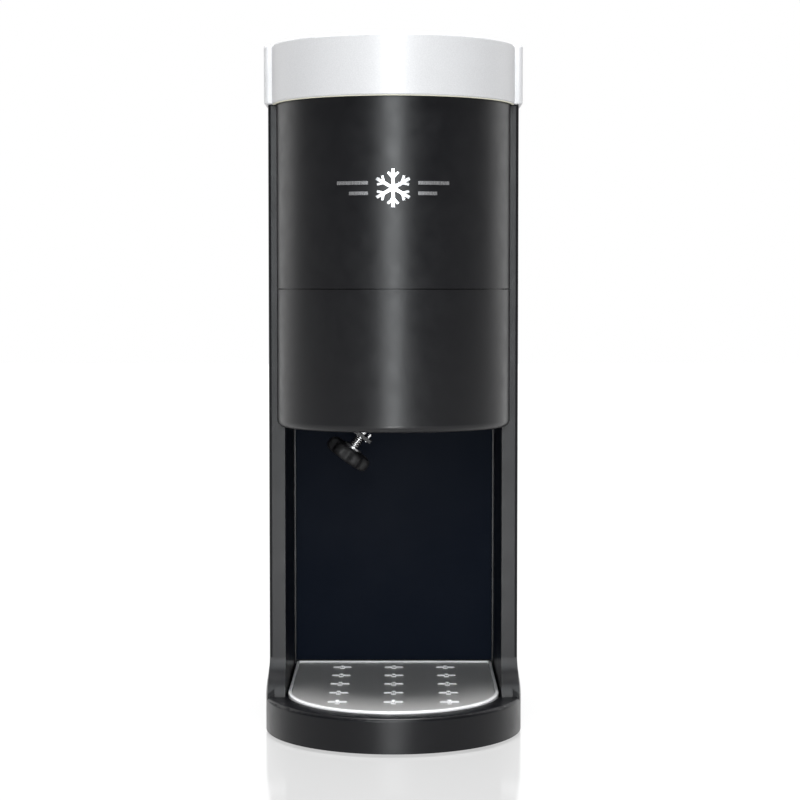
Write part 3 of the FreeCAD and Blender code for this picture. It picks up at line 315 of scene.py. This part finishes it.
def brushed(name, colour, roughness, stretch=(1, 1, 60), variation=0.10):
    """Metal brushed across the stretched axis."""
    finish = Finish(name, colour, roughness, 1.0)
    lines = finish.noise(260.0, 6.0, stretch, 0.7)
    finish.vary_colour(lines, variation)
    finish.vary_roughness(lines, 0.08)
    finish.bump(lines, 0.00001)
    return finish


def silver_paint():
    """Silver paint with fine metal flake under a satin lacquer."""
    finish = Finish("silver_paint", (0.62, 0.62, 0.631), 0.38, 0.04)
    flake = finish.noise(1700.0, 1.0)
    finish.vary_colour(finish.between(flake, 0.0, 1.0), 0.05)
    finish.vary_roughness(finish.noise(140.0, 3.0), 0.03)
    finish.bump(finish.noise(1200.0, 2.0), 0.00003)
    finish.shader.inputs["Specular IOR Level"].default_value = 0.8
    return finish


def black_body(name, gloss):
    """Satin black moulding; gloss is its index of refraction."""
    finish = moulded(name, (0.0036, 0.0037, 0.0050), 0.345, 2600.0, 0.000012, 0.12)
    finish.shader.inputs["IOR"].default_value = gloss
    return finish


def bay_gloss():
    """Dark blue bay panel, with hardly any reflection of the front lights."""
    finish = Finish("bay_gloss", (0.0034, 0.0066, 0.0145), 0.42)
    finish.vary_colour(finish.noise(9.0, 3.0), 0.12)
    finish.vary_roughness(finish.noise(30.0, 3.0), 0.03)
    finish.bump(finish.noise(1800.0, 2.0), 0.000006)
    finish.shader.inputs["Specular IOR Level"].default_value = 0.03
    return finish


def grate_paint():
    """Grey satin enamel with a faint grain along the grate."""
    finish = Finish("grate_grey", (0.44, 0.436, 0.432), 0.36, 0.1)
    grain = finish.noise(420.0, 4.0, (1, 12, 1), 0.6)
    finish.vary_colour(grain, 0.10)
    finish.vary_roughness(grain, 0.05)
    finish.bump(finish.noise(1600.0, 2.0), 0.00001)
    return finish


def build_materials():
    """Finishes by the record's material slot, and the casing's own slightly duller black."""
    return {
        "black_abs": black_body("black_body", 1.47),
        "casing_black": black_body("casing_black", 1.38),
        "bay_panel": bay_gloss(),
        "lid_silver": silver_paint(),
        "emblem": brushed("emblem_silver", (0.80, 0.80, 0.82), 0.28, (60, 1, 1)),
        "inner_plastic": moulded("inner_plastic", (0.045, 0.046, 0.050), 0.5),
        "hopper_plastic": moulded("hopper_plastic", (0.62, 0.65, 0.67), 0.34, variation=0.04),
        "knob_black": moulded("knob_black", (0.009, 0.009, 0.010), 0.55, 1800.0, 0.00003),
        "coated_steel": moulded("coated_steel", (0.010, 0.010, 0.011), 0.45, 1500.0, 0.00002),
        "stainless": brushed("stainless", (0.60, 0.60, 0.61), 0.30, (1, 40, 1)),
        "spring_steel": brushed("spring_steel", (0.72, 0.72, 0.73), 0.22, (20, 20, 1)),
        "screws": brushed("screw_zinc", (0.55, 0.56, 0.58), 0.32, (1, 1, 1)),
        "feet_rubber": moulded("feet_rubber", (0.020, 0.020, 0.020), 0.75, 1500.0, 0.00004),
        # The seal's cream colour is a painted highlight: on the strip under the lid it stands for the bright line
        # along the lid's lower edge
        "seal_rubber": moulded("seal_painted_highlight_cream", (0.84, 0.82, 0.66), 0.5, 1500.0, 0.00002, 0.04),
        "nylon": moulded("nylon", (0.74, 0.70, 0.60), 0.42, 1800.0, 0.00001, 0.05),
        "bronze": brushed("bronze", (0.52, 0.36, 0.17), 0.42, (1, 1, 1)),
        "motor_steel": brushed("motor_steel", (0.30, 0.31, 0.33), 0.38, (1, 1, 40)),
        "motor_alloy": brushed("motor_alloy", (0.56, 0.56, 0.58), 0.45, (1, 1, 1)),
        "lamination": brushed("lamination", (0.24, 0.24, 0.25), 0.45, (1, 1, 90)),
        "bearing_steel": brushed("bearing_steel", (0.72, 0.72, 0.73), 0.18, (1, 1, 1)),
        "electric_black": moulded("electric_black", (0.016, 0.016, 0.017), 0.5, 1800.0, 0.00003),
        "rocker_red": moulded("rocker_red", (0.35, 0.012, 0.012), 0.25, 1500.0, 0.00001),
        "plunger_white": moulded("plunger_white", (0.75, 0.75, 0.72), 0.4),
        "board": moulded("board_green", (0.02, 0.13, 0.05), 0.4, 900.0, 0.00003, 0.2),
        "wire": moulded("wire_sheath", (0.03, 0.03, 0.035), 0.55, 900.0, 0.00003),
        "tray_white": moulded("tray_white", (0.93, 0.93, 0.935), 0.22, 1800.0, 0.000008, 0.02),
        "grate_dark": grate_paint(),
    }


FINISHES = build_materials()


def paint_nodes():
    """Gives each CAD node the finish of its material slot, and the casing its own black."""
    for part in frame["record"]["subparts"]:
        mesh = NODES[part["node"]].data
        slot = "casing_black" if part["node"] == "main_casing" else part["material_slot"]
        mesh.materials.clear()
        mesh.materials.append(FINISHES[slot].material)


# Pieces ---------------------------------------------------------------------------------------

def add_piece(name, mesh, slot, body, replaced=()):
    """A piece with its slot's finish, which rides on a body and stands for the replaced nodes."""
    piece = bpy.data.objects.new(name, mesh)
    bpy.context.scene.collection.objects.link(piece)
    mesh.materials.append(FINISHES[slot].material)
    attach(piece, body)
    if replaced:
        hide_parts(*replaced)
    return piece


def joint_named(name):
    return [joint for joint in frame["joints"] if joint["name"] == name][0]


def join_rings(mesh, rings):
    """Side faces between each ring of vertices and the next."""
    for first, second in zip(rings, rings[1:]):
        sides = len(first)
        for s in range(sides):
            t = (s + 1) % sides
            mesh.faces.new((first[s], first[t], second[t], second[s]))


def cap_ends(mesh, rings):
    mesh.faces.new(rings[0][::-1])
    mesh.faces.new(rings[-1])


def finished_mesh(name, mesh, smooth=True):
    """The Blender mesh of a bmesh, with its faces turned outwards."""
    bmesh.ops.recalc_face_normals(mesh, faces=mesh.faces)
    made = bpy.data.meshes.new(name)
    mesh.to_mesh(made)
    mesh.free()
    for face in made.polygons:
        face.use_smooth = smooth
    return made


def coil_mesh(name, radius, wire, low, high, turns, closed_turns=1.0):
    """An upright coil spring with closed ends, as a tube swept round a helix."""
    total = turns + 2 * closed_turns
    count = int(total * COIL_STEPS)
    rings = []
    mesh = bmesh.new()
    span = high - low - 2 * wire - 4 * wire * closed_turns
    for k in range(count + 1):
        turn = total * k / count
        angle = 2 * math.pi * turn
        if turn < closed_turns:
            z = low + wire + 2 * wire * turn
        elif turn > total - closed_turns:
            z = high - wire - 2 * wire * (total - turn)
        else:
            z = low + wire + 2 * wire * closed_turns + span * (turn - closed_turns) / turns
        out = Vector((math.cos(angle), math.sin(angle), 0))
        centre = out * radius + Vector((0, 0, z))
        ring = []
        for s in range(COIL_SIDES):
            a = 2 * math.pi * s / COIL_SIDES
            spot = centre + out * wire * math.cos(a) + Vector((0, 0, wire * math.sin(a)))
            ring.append(mesh.verts.new(spot))
        rings.append(ring)
    join_rings(mesh, rings)
    cap_ends(mesh, rings)
    return finished_mesh(name, mesh)


def turned_mesh(name, profile, sides, outline):
    """A solid about Z from (radius, height) pairs, each ring shaped by outline(radius, angle)."""
    mesh = bmesh.new()
    rings = []
    angles = [2 * math.pi * s / sides for s in range(sides)]
    for radius, height in profile[1:-1]:
        ring = []
        for angle in angles:
            reach = outline(radius, angle)
            spot = (reach * math.cos(angle), reach * math.sin(angle), height)
            ring.append(mesh.verts.new(spot))
        rings.append(ring)
    join_rings(mesh, rings)
    for ring, (_, height) in ((rings[0], profile[0]), (rings[-1], profile[-1])):
        tip = mesh.verts.new((0, 0, height))
        for s in range(sides):
            mesh.faces.new((ring[s], ring[(s + 1) % sides], tip))
    return finished_mesh(name, mesh)


def arc(centre, radius, start, end, steps=6):
    """Points of a round edge in the (radius, height) plane, angles in degrees."""
    turns = [math.radians(start + (end - start) * k / steps) for k in range(steps + 1)]
    return [(centre[0] + radius * math.cos(a), centre[1] + radius * math.sin(a)) for a in turns]


def knob_profile(radius, thick):
    """Half section of the knob: dished underside, well rounded rim, low boss on top."""
    edge, boss, half = KNOB_EDGE, KNOB_BOSS, thick / 2
    points = [(0, -half + KNOB_DISH_DEPTH), (KNOB_DISH, -half + KNOB_DISH_DEPTH)]
    points += [(KNOB_DISH + 0.0010, -half + 0.0009), (KNOB_DISH + 0.0018, -half + 0.0002)]
    points += arc((radius - edge, -half + edge), edge, -90, 0)
    points += arc((radius - edge, half - edge), edge, 0, 90)
    points += [(boss + 0.0012, half), (boss + 0.0004, half - 0.0001)]
    points += [(boss, half + 0.0001), (0, half + 0.0001)]
    return points


def knob_axis():
    """A point on the adjusting knob's axis, and its direction."""
    joint = joint_named("knob_turn")
    return Vector(joint["pos_m"]), Vector(joint["axis"]).normalized()


def along(node, centre, axis):
    """Lowest and highest places of a node along an axis, and its reach from that axis."""
    spots = [vertex.co - centre for vertex in NODES[node].data.vertices]
    heights = [spot.dot(axis) for spot in spots]
    reach = max((spot - axis * spot.dot(axis)).length for spot in spots)
    return min(heights), max(heights), reach


def stand_along(mesh, centre, axis):
    """Turns an upright mesh to that axis and moves it there."""
    turn = axis.to_track_quat("Z", "Y").to_matrix().to_4x4()
    mesh.transform(Matrix.Translation(centre) @ turn)


def add_knob():
    """The lobed adjusting knob, in place of its plain CAD solid."""
    centre, axis = knob_axis()
    low, high, radius = along("adjust_knob", centre, axis)
    inner = radius * LOBE_START

    def lobed(reach, angle):
        hold = min(1.0, max(0.0, (reach - inner) / (radius - inner)))
        hollow = (0.5 - 0.5 * math.cos(LOBES * angle)) ** LOBE_SHARPNESS
        return reach * (1 - LOBE_DEPTH * hold * hollow)

    mesh = turned_mesh("hand_knob", knob_profile(radius, high - low), LOBES * LOBE_SIDES, lobed)
    stand_along(mesh, centre + axis * (low + high) / 2, axis)
    add_piece("hand_knob", mesh, "knob_black", "adjuster", ["adjust_knob"])


def add_knob_spring():
    """The bright friction spring between the knob's washer and the bracket."""
    centre, axis = knob_axis()
    low, high, reach = along("knob_spring", centre, axis)
    mesh = coil_mesh("knob_coil", reach - KNOB_WIRE, KNOB_WIRE, low, high, KNOB_TURNS, KNOB_CLOSED)
    stand_along(mesh, centre, axis)
    add_piece("knob_coil", mesh, "spring_steel", "machine", ["knob_spring"])


def add_gripper_spring():
    """The spring above the gripper, as a coil that rides on the spindle."""
    low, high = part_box("gripper_spring")
    radius = (high.x - low.x) / 2 - GRIPPER_WIRE
    mesh = coil_mesh("gripper_coil", radius, GRIPPER_WIRE, low.z, high.z, GRIPPER_TURNS)
    mesh.transform(Matrix.Translation((0, AXIS_Y, 0)))
    piece = add_piece("gripper_coil", mesh, "spring_steel", "spindle", ["gripper_spring"])
    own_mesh(piece)


def add_studs():
    """The tray's studs, with their bars a little proud of the plate instead of just below it."""
    mesh = NODES["grate_studs"].data.copy()
    mesh.name = "tray_studs"
    mesh.materials.clear()
    plate_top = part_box("drip_grate")[1].z
    for vertex in mesh.vertices:
        if abs(vertex.co.z - (plate_top - BAR_BELOW)) < BAR_BELOW / 2:
            vertex.co.z = plate_top + BAR_PROUD
    add_piece("tray_studs", mesh, "tray_white", "tray", ["grate_studs"])


def add_painted_highlight_lip():
    """A thin cream strip along the lid's lower front edge, in the seal's finish: a painted highlight for the light
    that edge catches.
    """
    low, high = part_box("lid_cover")
    vertices = [vertex.co for vertex in NODES["lid_cover"].data.vertices]
    front = [v for v in vertices if v.y < AXIS_Y - FRONT_FROM]
    reach = max(Vector((v.x, v.y - AXIS_Y)).length for v in front)
    wing = min(v.y for v in vertices if abs(v.x) > high.x - WING_EDGE)
    span = math.acos(min(1.0, (AXIS_Y - wing) / reach))
    centre = Vector((0, AXIS_Y, low.z))
    outer = reach - LIP_INSET
    inner = outer - LIP_DEPTH
    corners = [(outer, 0), (outer, -LIP_DROP), (inner, -LIP_DROP), (inner, 0)]
    mesh = bmesh.new()
    rings = []
    for k in range(LIP_STEPS + 1):
        angle = -span + 2 * span * k / LIP_STEPS
        out = Vector((math.sin(angle), -math.cos(angle), 0))
        rings.append([mesh.verts.new(centre + out * r + Vector((0, 0, z))) for r, z in corners])
    join_rings(mesh, rings)
    cap_ends(mesh, rings)
    # The strip's cream colour is a painted highlight, not a seal showing
    add_piece("painted_highlight_lip", finished_mesh("painted_highlight_lip", mesh, smooth=False), "seal_rubber", "lid")


plain_colours()
add_camera()
add_world()
add_lights(add_floor())
paint_nodes()
add_gripper_spring()
add_knob()
add_knob_spring()
add_studs()
add_painted_highlight_lip()
